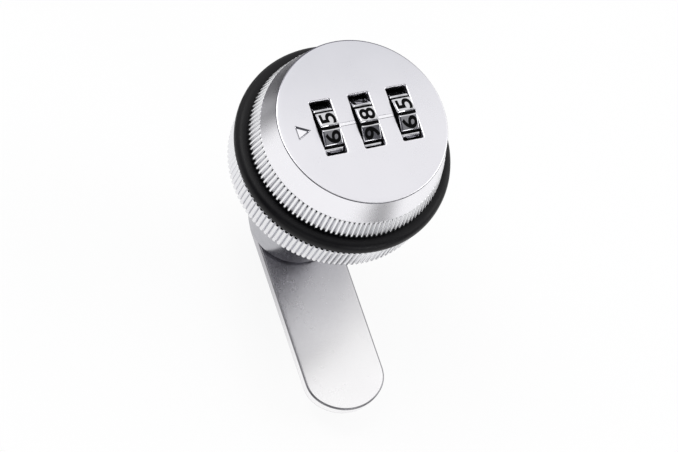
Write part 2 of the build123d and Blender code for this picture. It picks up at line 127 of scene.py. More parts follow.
def add_node(
    tree: Tree,
    kind: str,
    settings: dict[str, Any] | None = None,
    inputs: dict[str | int, Any] | None = None,
) -> bpy.types.Node:
    """Adds a node, sets its properties, and gives each input a value or a link.

    Args:
        tree: The node tree that gets the node.
        kind: Blender's name for the node's type.
        settings: Properties of the node by name.
        inputs: A value, or another node's output, for each input by name or number.

    Returns:
        The new node.
    """
    made = tree.nodes.new(kind)
    for name, value in (settings or {}).items():
        setattr(made, name, value)
    for socket, value in (inputs or {}).items():
        if isinstance(value, Socket):
            tree.links.new(value, made.inputs[socket])
        else:
            made.inputs[socket].default_value = value
    return made


def blank_material(name: str) -> tuple[bpy.types.Material, Tree]:
    """Makes a material with an empty node tree.

    Args:
        name: The material's name.

    Returns:
        The material and its tree.
    """
    material = bpy.data.materials.new(name)
    material.use_nodes = True
    material.node_tree.nodes.clear()
    return material, material.node_tree


def compute(tree: Tree, operation: str, *values: Socket | float, clamp: bool = False) -> Socket:
    """Adds a maths node by Blender's name for what it does, and gives its result."""
    settings = {"operation": operation, "use_clamp": clamp}
    return add_node(tree, "ShaderNodeMath", settings, dict(enumerate(values))).outputs[0]


def distance_along(tree: Tree, place: Socket, way: Point) -> Socket:
    """Works out how far a place is along a direction of length 1."""
    settings = {"operation": "DOT_PRODUCT"}
    return add_node(tree, "ShaderNodeVectorMath", settings, {0: place, 1: way}).outputs["Value"]


def noise(tree: Tree, place: Socket, scale: float, detail: float) -> Socket:
    """Adds soft noise from 0 to 1, with so many patches to a metre and so many finer layers."""
    inputs = {"Vector": place, "Scale": scale, "Detail": detail}
    return add_node(tree, "ShaderNodeTexNoise", {}, inputs).outputs[0]


def ramp(
    tree: Tree, value: Socket, ends: Spot, results: Spot = (0.0, 1.0), smooth: bool = True
) -> Socket:
    """Turns one range of values to another, and holds it there beyond the ends.

    Args:
        tree: The node tree.
        value: The value.
        ends: Where the range starts and ends.
        results: What the value becomes there.
        smooth: Whether it eases in and out.

    Returns:
        The new value.
    """
    settings = {"interpolation_type": "SMOOTHSTEP" if smooth else "LINEAR"}
    inputs = {"Value": value, "From Min": ends[0], "From Max": ends[1]}
    inputs |= {"To Min": results[0], "To Max": results[1]}
    return add_node(tree, "ShaderNodeMapRange", settings, inputs).outputs[0]


def blend(tree: Tree, share: Socket, first: str, second: str) -> Socket:
    """Mixes two hex colours, by the share of the second one."""
    inputs = {0: share, 6: linear(first), 7: linear(second)}
    return add_node(tree, "ShaderNodeMix", {"data_type": "RGBA"}, inputs).outputs[2]


@dataclass(frozen=True)
class Finish:
    """What all finishes share: two close tints in soft patches, a fine grain and uneven gloss."""

    name: str
    tint: str
    shade: str
    roughness: float
    gloss_spread: float
    grain_mm: float
    grain_height_mm: float

    def build(self) -> bpy.types.Material:
        """Makes the material.

        Returns:
            The material, with its colour, gloss and bump from procedural noise.
        """
        material, tree = blank_material(self.name)
        place = add_node(tree, "ShaderNodeTexCoord").outputs["Object"]
        share, gloss, grain = self.patterns(tree, place)
        rough = (self.roughness - self.gloss_spread, self.roughness + self.gloss_spread)
        bump = {"Height": grain, "Distance": self.grain_height_mm * MM, "Strength": 1.0}
        inputs = {
            "Base Color": blend(tree, share, self.shade, self.tint),
            "Roughness": ramp(tree, gloss, NOISE_RANGE, rough, smooth=False),
            "Normal": add_node(tree, "ShaderNodeBump", {}, bump).outputs[0],
            **self.own_inputs(),
        }
        shader = add_node(tree, "ShaderNodeBsdfPrincipled", {}, inputs)
        add_node(tree, "ShaderNodeOutputMaterial", {}, {"Surface": shader.outputs[0]})
        return material

    def patterns(self, tree: Tree, place: Socket) -> tuple[Socket, Socket, Socket]:
        """Gives the share of the lighter tint, the gloss's noise and the bump's, at a place."""
        raise NotImplementedError

    def own_inputs(self) -> dict[str, float]:
        """Gives the shader's inputs that only this kind of finish has."""
        raise NotImplementedError


@dataclass(frozen=True)
class MetalFinish(Finish):
    """A metal surface, whose grain can be stretched and whose tint can go over to a darker, painted
    shade along Y.
    """

    patch_mm: float
    stretch: Point = (1.0, 1.0, 1.0)
    # Where along Y, in millimetres, the painted shade starts and is full
    painted_shade_mm: Spot | None = None
    fade_unevenness: float = 0.3

    def patterns(self, tree: Tree, place: Socket) -> tuple[Socket, Socket, Socket]:
        """Draws the patches and the grain, and lets the gloss follow both.

        Args:
            tree: The material's node tree.
            place: The place, in metres.

        Returns:
            The share of the lighter tint, the gloss's noise and the bump's.
        """
        scale = [share / (self.grain_mm * MM) for share in self.stretch]
        stretched = add_node(tree, "ShaderNodeMapping", {}, {"Vector": place, "Scale": scale})
        grain = noise(tree, stretched.outputs[0], 1.0, 3.0)
        patch = noise(tree, place, 1 / (self.patch_mm * MM), 2.0)
        half_patch = compute(tree, "MULTIPLY_ADD", patch, 0.5, 0.0)
        gloss = compute(tree, "MULTIPLY_ADD", grain, 0.5, half_patch)
        return self.with_painted_shade(tree, place, patch), gloss, grain

    def with_painted_shade(self, tree: Tree, place: Socket, patch: Socket) -> Socket:
        """Paints shade: lets the tint go over to the darker shade along Y, with the patches left in
        as unevenness.

        Args:
            tree: The material's node tree.
            place: The place, in metres.
            patch: The soft patches, from 0 to 1.

        Returns:
            The share of the lighter tint, which the patches alone give where no shade is painted.
        """
        if self.painted_shade_mm is None:
            return patch
        y = add_node(tree, "ShaderNodeSeparateXYZ", {}, {0: place}).outputs["Y"]
        start, end = self.painted_shade_mm
        half = self.fade_unevenness / 2
        along = ramp(tree, y, (start * MM, end * MM), (1 - half, -half))
        return compute(tree, "MULTIPLY_ADD", patch, self.fade_unevenness, along, clamp=True)

    def own_inputs(self) -> dict[str, float]:
        """Makes the surface a metal."""
        return {"Metallic": 1.0}


@dataclass(frozen=True)
class CoatFinish(Finish):
    """A surface that isn't metal, such as moulded rubber or enamel."""

    ior: float
    sheen: float
    patches_per_grain: float = 0.12

    def patterns(self, tree: Tree, place: Socket) -> tuple[Socket, Socket, Socket]:
        """Draws the patches and the grain, and lets the gloss follow the patches.

        Args:
            tree: The material's node tree.
            place: The place, in metres.

        Returns:
            The share of the lighter tint, the gloss's noise and the bump's.
        """
        grain = noise(tree, place, 1 / (self.grain_mm * MM), 4.0)
        patch = noise(tree, place, self.patches_per_grain / (self.grain_mm * MM), 2.0)
        return patch, patch, grain

    def own_inputs(self) -> dict[str, float]:
        """Gives the surface its refraction and its sheen."""
        return {"IOR": self.ior, "Specular IOR Level": self.sheen}


# Satin chrome over a bead-blasted zinc casting: a pearly face whose highlights spread wide and
# soft, with painted shade that makes it greyer towards its top. The blast grain is 0.05 mm, drawn
# at 0.25 mm to show at all.
SATIN_CHROME = MetalFinish(
    "satin_chrome_on_zinc", "#E6E5EA", "#D4D4DA", 0.3, 0.03, 0.25, 0.0012, 9.0, painted_shade_mm=(-4.0, 17.0)
)
# Chrome over the turned wall of the casting: bands of light, with painted shade that makes it much
# greyer towards the top of the face.
TURNED_CHROME = MetalFinish(
    "chrome_on_turned_wall", "#F6F5F9", "#6C6A76", 0.28, 0.02, 0.5, 0.001, 9.0, painted_shade_mm=(0.0, 17.0)
)
# Chrome painted darker as shade on the face's rim, the walls of the marks and the barrel's end
# chamfer: a fine darker line round the form.
EDGE_SHADE_CHROME = MetalFinish(
    "chrome_with_painted_edge_shade", "#6A6A70", "#5C5C62", 0.35, 0.04, 0.3, 0.001, 3.0
)
# Bright chrome on the rolled knurl: crisp white lands beside dark grooves.
KNURL_CHROME = MetalFinish(
    "bright_chrome_on_rolled_knurl", "#F7F7F9", "#EEEEF1", 0.13, 0.03, 0.4, 0.002, 3.0
)
# Chrome on the sides of the knurl's grooves: as white as the lands but softer.
FLANK_CHROME = MetalFinish(
    "soft_chrome_on_knurl_flanks", "#F4F4F6", "#ECECEF", 0.33, 0.04, 0.3, 0.002, 3.0
)
# Chrome in the knurl's roots, rougher and painted a little darker as shade: a soft pale line
# between bright lands.
ROOT_SHADE_CHROME = MetalFinish(
    "knurl_root_chrome_with_painted_shade", "#DEDEE2", "#D2D2D6", 0.55, 0.05, 0.3, 0.002, 3.0
)
# Bright chrome over the nut's turned brass: white and slightly wavy, as plate on a lathe cut is.
NUT_CHROME = MetalFinish(
    "bright_chrome_on_turned_brass", "#EFEFF0", "#DEDEE2", 0.20, 0.05, 0.5, 0.003, 4.0, (1, 1, 4)
)
# Bright chrome over the cast barrel: a greyish mirror, softened by a faint casting ripple.
BARREL_CHROME = MetalFinish(
    "bright_chrome_on_cast_barrel", "#BEBEC2", "#A6A6AB", 0.24, 0.04, 1.2, 0.004, 4.0
)
# Polished chrome on the moulded code dials: near-mirror facets that go from white to dark.
DIAL_CHROME = MetalFinish(
    "polished_chrome_on_dials", "#DCDCDE", "#CFCFD3", 0.12, 0.03, 0.5, 0.002, 2.0
)
# Satin nickel on cold-rolled steel: broad soft reflections, with painted shade that makes it greyer
# towards the spindle. The plate's grain is 0.05 mm, drawn at 0.9 mm and very shallow, so that it
# leaves no streaks.
CAM_NICKEL = MetalFinish(
    "satin_nickel_on_rolled_steel",
    "#FAF9FA",
    "#BCBBBF",
    0.27,
    0.01,
    0.9,
    0.00002,
    14.0,
    painted_shade_mm=(-33.0, -5.0),
)
# The cam's rounded edges, painted darker as shade: a fine darker line round the bright faces.
CAM_EDGE_SHADE = MetalFinish(
    "cam_edges_painted_shade", "#98979A", "#868589", 0.35, 0.04, 0.3, 0.001, 3.0
)
# Bare zinc die casting: dull grey with a frosty grain.
ZINC_CASTING = MetalFinish(
    "bare_zinc_casting", "#8E9094", "#76787C", 0.5, 0.08, 0.4, 0.01, 3.0
)
# Bright zinc plate on pressed steel: bluish white, less even than chrome.
ZINC_PLATE = MetalFinish(
    "bright_zinc_plate_on_steel", "#CBD0D6", "#B4B9C0", 0.3, 0.07, 0.35, 0.004, 2.0
)
# Hardened spring strip: darker steel with rolling lines.
SPRING_STRIP = MetalFinish(
    "hardened_spring_strip", "#9A9B9E", "#85868A", 0.3, 0.05, 0.2, 0.002, 2.0, (0.1, 1, 1)
)
# Ground steel: plain grey with fine lines around the work.
GROUND_STEEL = MetalFinish(
    "ground_steel", "#A9AAAD", "#98999C", 0.28, 0.05, 0.2, 0.002, 2.0, (1, 0.2, 1)
)
# Free-cutting brass, turned: warm yellow with tool lines.
TURNED_BRASS = MetalFinish(
    "turned_brass", "#C9A75C", "#B8954C", 0.25, 0.05, 0.25, 0.003, 2.0
)
# Moulded black rubber: deep charcoal, a soft sheen on the rounded edge and a fine mould grain.
SEAL_RUBBER = CoatFinish(
    "moulded_black_rubber", "#100F13", "#09090B", 0.42, 0.05, 0.35, 0.006, 1.5, 0.2
)
# Black enamel in the dials' digits, and black painted as shade in their grooves and on their sides:
# near-black, nearly dull, a little uneven.
BLACK_PRINT_AND_SHADE = CoatFinish(
    "black_digits_and_painted_shade", "#09090A", "#050506", 0.6, 0.06, 0.3, 0.003, 1.5, 0.05
)
# Painted shadow where the knurl's grooves run under the wall and down to the seal: dull, almost
# black specks.
GROOVE_END_SHADOW = CoatFinish(
    "painted_shadow_in_groove_ends", "#242427", "#18181B", 0.6, 0.06, 0.3, 0.003, 1.5, 0.2
)

# The knob's finishes in the order of its materials
KNOB_LOOKS: dict[Look, Finish] = {
    Look.FACE: SATIN_CHROME,
    Look.LAND: KNURL_CHROME,
    Look.CASTING: ZINC_CASTING,
    Look.TURNED: TURNED_CHROME,
    Look.ROOT: ROOT_SHADE_CHROME,
    Look.BLACK: GROOVE_END_SHADOW,
    Look.FLANK: FLANK_CHROME,
    Look.EDGE: EDGE_SHADE_CHROME,
}

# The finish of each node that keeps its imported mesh
KEPT_NODES: dict[str, MetalFinish] = {
    "dial_carrier": ZINC_CASTING,
    "carrier_screws": ZINC_PLATE,
    "dial_axle": GROUND_STEEL,
    "axle_clips": SPRING_STRIP,
    "detent_spring": SPRING_STRIP,
    "detent_screws": ZINC_PLATE,
    "bar_spring": SPRING_STRIP,
    "locking_bar": GROUND_STEEL,
    "code_sleeve_1": TURNED_BRASS,
    "code_sleeve_2": TURNED_BRASS,
    "code_sleeve_3": TURNED_BRASS,
    "end_washer": ZINC_PLATE,
    "lock_washer": SPRING_STRIP,
    "cam_screw": ZINC_PLATE,
}


@dataclass
class Finishes:
    """Builds each material once and hands it out."""

    built: dict[str, bpy.types.Material] = field(default_factory=dict)

    def get(self, *wanted: Finish) -> list[bpy.types.Material]:
        """Gives the materials of some finishes, building each one the first time.

        Args:
            wanted: The finishes.

        Returns:
            Their materials, in the same order.
        """
        for finish in wanted:
            if finish.name not in self.built:
                self.built[finish.name] = finish.build()
        return [self.built[finish.name] for finish in wanted]


@dataclass
class Draft:
    """Points and faces of one piece while it grows, in millimetres."""

    points: list[Point] = field(default_factory=list)
    faces: list[tuple[int, ...]] = field(default_factory=list)
    finish_of: list[int] = field(default_factory=list)

    def ring(self, points: Iterable[Point]) -> list[int]:
        """Adds points.

        Args:
            points: The points, in order.

        Returns:
            Their numbers.
        """
        start = len(self.points)
        self.points.extend(points)
        return list(range(start, len(self.points)))

    def polygon(self, corners: Sequence[int], finish: int = Area.MAIN) -> None:
        """Adds one face, from the numbers of its points and of its finish."""
        self.faces.append(tuple(corners))
        self.finish_of.append(finish)

    def bridge(
        self,
        near: Sequence[int],
        far: Sequence[int],
        finish: int | Sequence[int] = Area.MAIN,
        closed: bool = True,
    ) -> None:
        """Joins two rings of the same length with quads.

        Args:
            near: The first ring.
            far: The second ring.
            finish: Which of the piece's finishes the quads have, or a list with one for each.
            closed: Whether the last point joins the first.
        """
        count = len(near)
        for i in range(count if closed else count - 1):
            j = (i + 1) % count
            own = finish if isinstance(finish, int) else finish[i]
            self.polygon((near[i], near[j], far[j], far[i]), own)

    def fill(
        self, outline: Sequence[int], holes: Sequence[Sequence[int]], finish: int = Area.MAIN
    ) -> None:
        """Fills a flat area across the Z axis, with holes, by triangles.

        Args:
            outline: The ring around it.
            holes: The rings that stay open.
            finish: Which of the piece's finishes it has.
        """
        rings = [list(outline), *[list(hole) for hole in holes]]
        numbers = [n for ring in rings for n in ring]
        spots = [Vector(self.points[n][:2]) for n in numbers]
        edges: list[tuple[int, int]] = []
        start = 0
        for ring in rings:
            size = len(ring)
            edges.extend((start + i, start + (i + 1) % size) for i in range(size))
            start += size
        _, _, triangles, origin, _, _ = delaunay_2d_cdt(spots, edges, [], 0, FILL_TOLERANCE)
        loops = [[self.points[n][:2] for n in ring] for ring in rings]
        for triangle in triangles:
            corners = [numbers[origin[v][0]] for v in triangle]
            x = sum(self.points[n][0] for n in corners) / 3
            y = sum(self.points[n][1] for n in corners) / 3
            if inside((x, y), loops[0]) and not any(inside((x, y), loop) for loop in loops[1:]):
                self.polygon(corners, finish)

    def build(
        self,
        name: str,
        materials: Sequence[bpy.types.Material],
        body: Body,
        sharp_degrees: float = 32.0,
    ) -> bpy.types.Object:
        """Makes the Blender object: merged points, outward faces and smooth shading up to an angle.

        Args:
            name: The piece's name.
            materials: Its finishes, in the order of the faces' numbers.
            body: The body it rides on.
            sharp_degrees: Edges that turn more than this stay sharp.

        Returns:
            The object.
        """
        mesh = bpy.data.meshes.new(name)
        mesh.from_pydata([Vector(p) * MM for p in self.points], [], self.faces)
        mesh.polygons.foreach_set("material_index", self.finish_of)
        work = bmesh.new()
        work.from_mesh(mesh)
        bmesh.ops.remove_doubles(work, verts=work.verts, dist=MERGE_DISTANCE)
        bmesh.ops.dissolve_degenerate(work, dist=SHORTEST_EDGE, edges=work.edges)
        bmesh.ops.recalc_face_normals(work, faces=work.faces)
        work.to_mesh(mesh)
        work.free()
        mesh.polygons.foreach_set("use_smooth", [True] * len(mesh.polygons))
        mesh.set_sharp_from_angle(angle=radians(sharp_degrees))
        for material in materials:
            mesh.materials.append(material)
        piece = bpy.data.objects.new(name, mesh)
        bpy.context.scene.collection.objects.link(piece)
        flat = piece.modifiers.new("flat_faces", "WEIGHTED_NORMAL")
        flat.keep_sharp = True
        flat.weight = 100
        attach(piece, body.value)
        return piece


def inside(spot: Spot, loop: Sequence[Spot]) -> bool:
    """Tells whether a spot is inside a loop.

    Args:
        spot: The spot.
        loop: The loop's corners.

    Returns:
        True where it is inside.
    """
    x, y = spot
    found = False
    for (ax, ay), (bx, by) in zip(loop, [*loop[1:], loop[0]]):
        if (ay > y) != (by > y) and x < (bx - ax) * (y - ay) / (by - ay) + ax:
            found = not found
    return found


def soften(corners: Sequence[tuple[float, float, float]], steps: int = 4) -> list[Spot]:
    """Rounds the corners of a profile.

    Args:
        corners: Radius, height and how far from the corner its rounding starts, for each corner.
        steps: How many lines each rounding has.

    Returns:
        The profile's points.
    """
    spots: list[Spot] = []
    last = len(corners) - 1
    for i, (r, z, reach) in enumerate(corners):
        if reach == 0 or i in (0, last):
            spots.append((r, z))
            continue
        here = Vector((r, z))
        before = here + (Vector(corners[i - 1][:2]) - here).normalized() * reach
        after = here + (Vector(corners[i + 1][:2]) - here).normalized() * reach
        for k in range(steps + 1):
            t = k / steps
            spot = before * (1 - t) ** 2 + here * (2 * t * (1 - t)) + after * t**2
            spots.append((spot.x, spot.y))
    return spots


def quarter_round(size: float, steps: int) -> list[Spot]:
    """Lists how far in and how far down each step of an edge rounded by a quarter circle is."""
    angles = [pi / (2 * steps) * k for k in range(steps + 1)]
    return [(size * (1 - sin(t)), size * (1 - cos(t))) for t in angles]


def turned(profile: Sequence[Spot], count: int) -> list[list[Point]]:
    """Turns a profile about the Z axis.

    Args:
        profile: Radius and height of each point.
        count: How many points each ring has.

    Returns:
        A ring for each point of the profile.
    """
    return [
        [(r * cos(tau * i / count), r * sin(tau * i / count), z) for i in range(count)]
        for r, z in profile
    ]


def rounded_rectangle(
    x: float, y: float, width: float, length: float, corner: float, height: float
) -> list[Point]:
    """Draws a rectangle with round corners across the Z axis.

    Args:
        x: Its middle along X.
        y: Its middle along Y.
        width: Its size along X.
        length: Its size along Y.
        corner: Its corners' radius.
        height: Its place along Z.

    Returns:
        Its points.
    """
    loop: list[Point] = []
    for quarter, (sx, sy) in enumerate(((1, 1), (-1, 1), (-1, -1), (1, -1))):
        cx = x + sx * (width / 2 - corner)
        cy = y + sy * (length / 2 - corner)
        for k in range(CORNER_STEPS + 1):
            angle = pi / 2 * (quarter + k / CORNER_STEPS)
            loop.append((cx + corner * cos(angle), cy + corner * sin(angle), height))
    return loop


@dataclass
class Knurl:
    """Straight V grooves around a rim, as a list of angles with the share of the groove's depth."""

    grooves: int
    width: float
    depth: float
    radius: float
    lip: float = 0.06
    root: float = 0.12
    bottom: int = 4
    # Where the depths at a quad's two ends add up to more than this, it is root, or else flank
    root_from: float = 1.4
    flank_from: float = 0.2

    def angles(self) -> list[tuple[float, float]]:
        """Lists the places around the rim.

        Returns:
            The angle and the share of the groove's depth there, for each place.
        """
        half = self.width / 2
        land = pi * self.radius / self.grooves
        # Half a groove: the distance from its middle and the share of its depth
        spots = [
            (0.0, 1.0),
            (self.root, 1 - 0.8 * self.root / half),
            (half - self.lip, 0.22),
            (half, 0.05),
            (half + self.lip, 0.0),
        ]
        places = [(-s, share) for s, share in reversed(spots[1:])]
        places += [*spots, (land, 0.0)]
        return [
            (tau * i / self.grooves + s / self.radius, share)
            for i in range(self.grooves)
            for s, share in places
        ]

    def row(self, radius: float, height: float, grooved: float) -> list[Point]:
        """Draws one ring.

        Args:
            radius: The rim's radius there.
            height: Its place along Z.
            grooved: 1 where the grooves are cut, 0 where the ring is plain.

        Returns:
            The ring's points.
        """
        ring: list[Point] = []
        places = self.angles()
        for i, (angle, share) in enumerate(places):
            if grooved == 0:
                angle = tau * (i - self.bottom) / len(places)
            r = radius - self.depth * share * grooved
            ring.append((r * cos(angle), r * sin(angle), height))
        return ring

    def finish_row(self, land: int, flank: int, root: int) -> list[int]:
        """Lists the finish of each quad between two rings.

        Args:
            land: The finish between the grooves.
            flank: The finish of a groove's sides.
            root: The finish of its bottom.

        Returns:
            The finish of each quad.
        """
        shares = [share for _, share in self.angles()]
        sums = [share + after for share, after in zip(shares, [*shares[1:], shares[0]])]
        return [
            root if both > self.root_from else flank if both > self.flank_from else land
            for both in sums
        ]


@dataclass
class Knob:
    """The turning knob: a satin face with slots and marks, a conical wall and a knurled grip."""

    face_height: float = 13.4
    face_radius: float = 17.0
    face_wall: float = 1.2
    face_edge: float = 0.22
    face_band: float = 1.1
    wall_step: float = 0.06
    cavity_radius: float = 15.4
    shoulder_height: float = 6.5
    grip_top_height: float = 7.5
    grip_top_radius: float = 18.6
    skirt_height: float = 2.8
    skirt_radius: float = 19.7
    skirt_bore: float = 17.5
    skirt_edge: float = 0.12
    grip_grooves: int = 120
    groove_width: float = 0.62
    groove_depth: float = 0.42
    top_groove_shadow: float = 1.0
    foot_groove_shadow: float = 0.5
    dial_centres: tuple[float, ...] = tuple(centre for centre, _, _ in DIALS)
    slot_width: float = 4.2
    slot_length: float = 11.2
    slot_corner: float = 0.3
    slot_bevel: float = 0.3
    index_width: float = 0.75
    index_depth: float = 0.12
    index_gap: float = 0.06
    index_corner: float = 0.05
    index_end_share: float = 0.6
    # How far inside its outline each ring of a mark lies, and its share of the mark's depth
    index_rings: tuple[Spot, ...] = ((0.0, 0.0), (0.02, 1.0), (0.14, 1.0))
    arrow_rings: tuple[Spot, ...] = ((0.0, 0.0), (0.04, 0.1), (0.24, 1.0), (0.34, 1.0))
    arrow_tip: float = -10.7
    arrow_length: float = 3.0
    arrow_width: float = 3.1
    arrow_depth: float = 0.28
    arrow_corner: float = 0.16
    arrow_base_band: float = 0.2

    def build(self, finishes: Finishes) -> bpy.types.Object:
        """Makes the knob's shell.

        Args:
            finishes: The materials.

        Returns:
            The piece.
        """
        draft = Draft()
        knurl = Knurl(self.grip_grooves, self.groove_width, self.groove_depth, self.skirt_radius)
        wall = soften(
            [
                (self.face_radius - self.face_band, self.face_height, 0),
                (self.face_radius, self.face_height, self.face_edge),
                (self.grip_top_radius - self.wall_step, self.grip_top_height, 0),
            ]
        )
        foot = soften(
            [
                (self.grip_top_radius, self.grip_top_height, 0),
                (*self.on_grip(self.grip_top_height - self.top_groove_shadow), 0),
                (*self.on_grip(self.skirt_height + self.foot_groove_shadow), 0),
                (self.skirt_radius, self.skirt_height, self.skirt_edge),
                (self.skirt_radius - self.groove_width, self.skirt_height, 0),
            ],
            steps=2,
        )
        rows = [(r, z, 0.0) for r, z in wall] + [(r, z, 1.0) for r, z in foot[:-1]]
        first_inner = len(rows)
        rows += [
            (foot[-1][0], foot[-1][1], 0.0),
            (self.skirt_bore, self.skirt_height, 0.0),
            (self.skirt_bore, self.shoulder_height, 0.0),
            (self.cavity_radius, self.shoulder_height, 0.0),
            (self.cavity_radius, self.face_height - self.face_wall, 0.0),
        ]
        # The grooves' ends under the wall and at the seal are painted almost black as shadow, and
        # their roots a little darker as shade
        top = knurl.finish_row(Look.LAND, Look.FLANK, Look.BLACK)
        middle = knurl.finish_row(Look.LAND, Look.FLANK, Look.ROOT)
        low = knurl.finish_row(Look.LAND, Look.BLACK, Look.BLACK)
        # The finish of each band of quads, from the face's rim down the outside and up the inside;
        # the rim's last two strips are painted edge shade
        bands: list[int | list[int]] = [Look.FACE, Look.TURNED, Look.TURNED, Look.EDGE, Look.EDGE]
        bands += [Look.TURNED, top, top, middle]
        bands += [low] * (first_inner - len(bands))
        bands += [Look.CASTING] * (len(rows) - 1 - len(bands))
        rings = [draft.ring(knurl.row(*row)) for row in rows]
        for near, far, band in zip(rings, rings[1:], bands):
            draft.bridge(near, far, band)
        slots = [self.slot(draft, x) for x in self.dial_centres]
        gaps = zip(self.dial_centres, self.dial_centres[1:])
        marks = [self.index_mark(draft, left, right) for left, right in gaps]
        draft.fill(rings[0], [*(rim for rim, _ in slots), *marks, self.arrow(draft)], Look.FACE)
        draft.fill(rings[-1], [end for _, end in slots], Look.CASTING)
        materials = finishes.get(*KNOB_LOOKS.values())
        piece = draft.build("knob_shell_dressed", materials, Body.KNOB, sharp_degrees=36)
        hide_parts("knob_shell")
        return piece

    def on_grip(self, height: float) -> Spot:
        """Gives the grip's radius and height at one height."""
        spread = self.skirt_radius - self.grip_top_radius
        slope = spread / (self.grip_top_height - self.skirt_height)
        return self.grip_top_radius + slope * (self.grip_top_height - height), height

    def slot(self, draft: Draft, x: float) -> tuple[list[int], list[int]]:
        """Cuts a dial's slot, with a rounded rim.

        Args:
            draft: The knob's draft.
            x: The slot's middle.

        Returns:
            The slot's ring in the face and its ring under the face.
        """
        loops: list[list[int]] = []
        for out, down in [*quarter_round(self.slot_bevel, 3), (0.0, self.face_wall)]:
            loop = rounded_rectangle(
                x,
                0.0,
                self.slot_width + 2 * out,
                self.slot_length + 2 * out,
                self.slot_corner + out,
                self.face_height - down,
            )
            loops.append(draft.ring(loop))
        for near, far in zip(loops, loops[1:]):
            draft.bridge(near, far, Look.TURNED)
        return loops[0], loops[-1]

    def index_mark(self, draft: Draft, left: float, right: float) -> list[int]:
        """Cuts the hollow index mark between two slots.

        Args:
            draft: The knob's draft.
            left: The middle of the slot on its left.
            right: The middle of the slot on its right.

        Returns:
            The mark's ring in the face.
        """
        length = right - left - self.slot_width - 2 * self.slot_bevel - self.index_gap
        loops: list[list[int]] = []
        for inset, share in self.index_rings:
            loop = rounded_rectangle(
                (left + right) / 2,
                0.0,
                length - self.index_end_share * inset,
                self.index_width - 2 * inset,
                self.index_corner,
                self.face_height - self.index_depth * share,
            )
            loops.append(draft.ring(loop))
        # The mark's lower wall is painted darker as shade
        line = [Look.EDGE if draft.points[n][1] < 0 else Look.TURNED for n in loops[0]]
        draft.bridge(loops[0], loops[1], Look.TURNED)
        draft.bridge(loops[1], loops[2], line)
        draft.polygon(loops[-1], Look.TURNED)
        return loops[0]

    def arrow(self, draft: Draft) -> list[int]:
        """Cuts the triangle that points at the dials.

        Args:
            draft: The knob's draft.

        Returns:
            Its ring in the face.
        """
        base = self.arrow_tip - self.arrow_length
        corners = [
            Vector((self.arrow_tip, 0.0)),
            Vector((base, self.arrow_width / 2)),
            Vector((base, -self.arrow_width / 2)),
        ]
        sides = [(corners[i] - corners[i - 1]).length for i in range(3)]
        inner_radius = self.arrow_length * self.arrow_width / sum(sides)
        centre = Vector((base + inner_radius, 0.0))
        outline: list[Vector] = []
        for i, here in enumerate(corners):
            before = (corners[i - 1] - here).normalized() * self.arrow_corner
            after = (corners[(i + 1) % 3] - here).normalized() * self.arrow_corner
            for t in (0.0, 0.5, 1.0):
                outline.append(here + before * (1 - t) ** 2 + after * t**2)
        loops: list[list[int]] = []
        for inset, share in self.arrow_rings:
            scale = 1 - inset / inner_radius
            height = self.face_height - self.arrow_depth * share
            loops.append(
                draft.ring([(*(centre + (spot - centre) * scale), height) for spot in outline])
            )
        # The triangle's rim and floor strips all round, and its upper wall away from the base, are
        # painted darker as shade
        upper: list[int] = []
        for n in loops[0]:
            x, y, _ = draft.points[n]
            beside = y > 0 and x > base + self.arrow_base_band
            upper.append(Look.EDGE if beside else Look.TURNED)
        for near, far, band in zip(loops, loops[1:], (Look.EDGE, upper, Look.EDGE)):
            draft.bridge(near, far, band)
        draft.polygon(loops[-1], Look.TURNED)
        return loops[0]


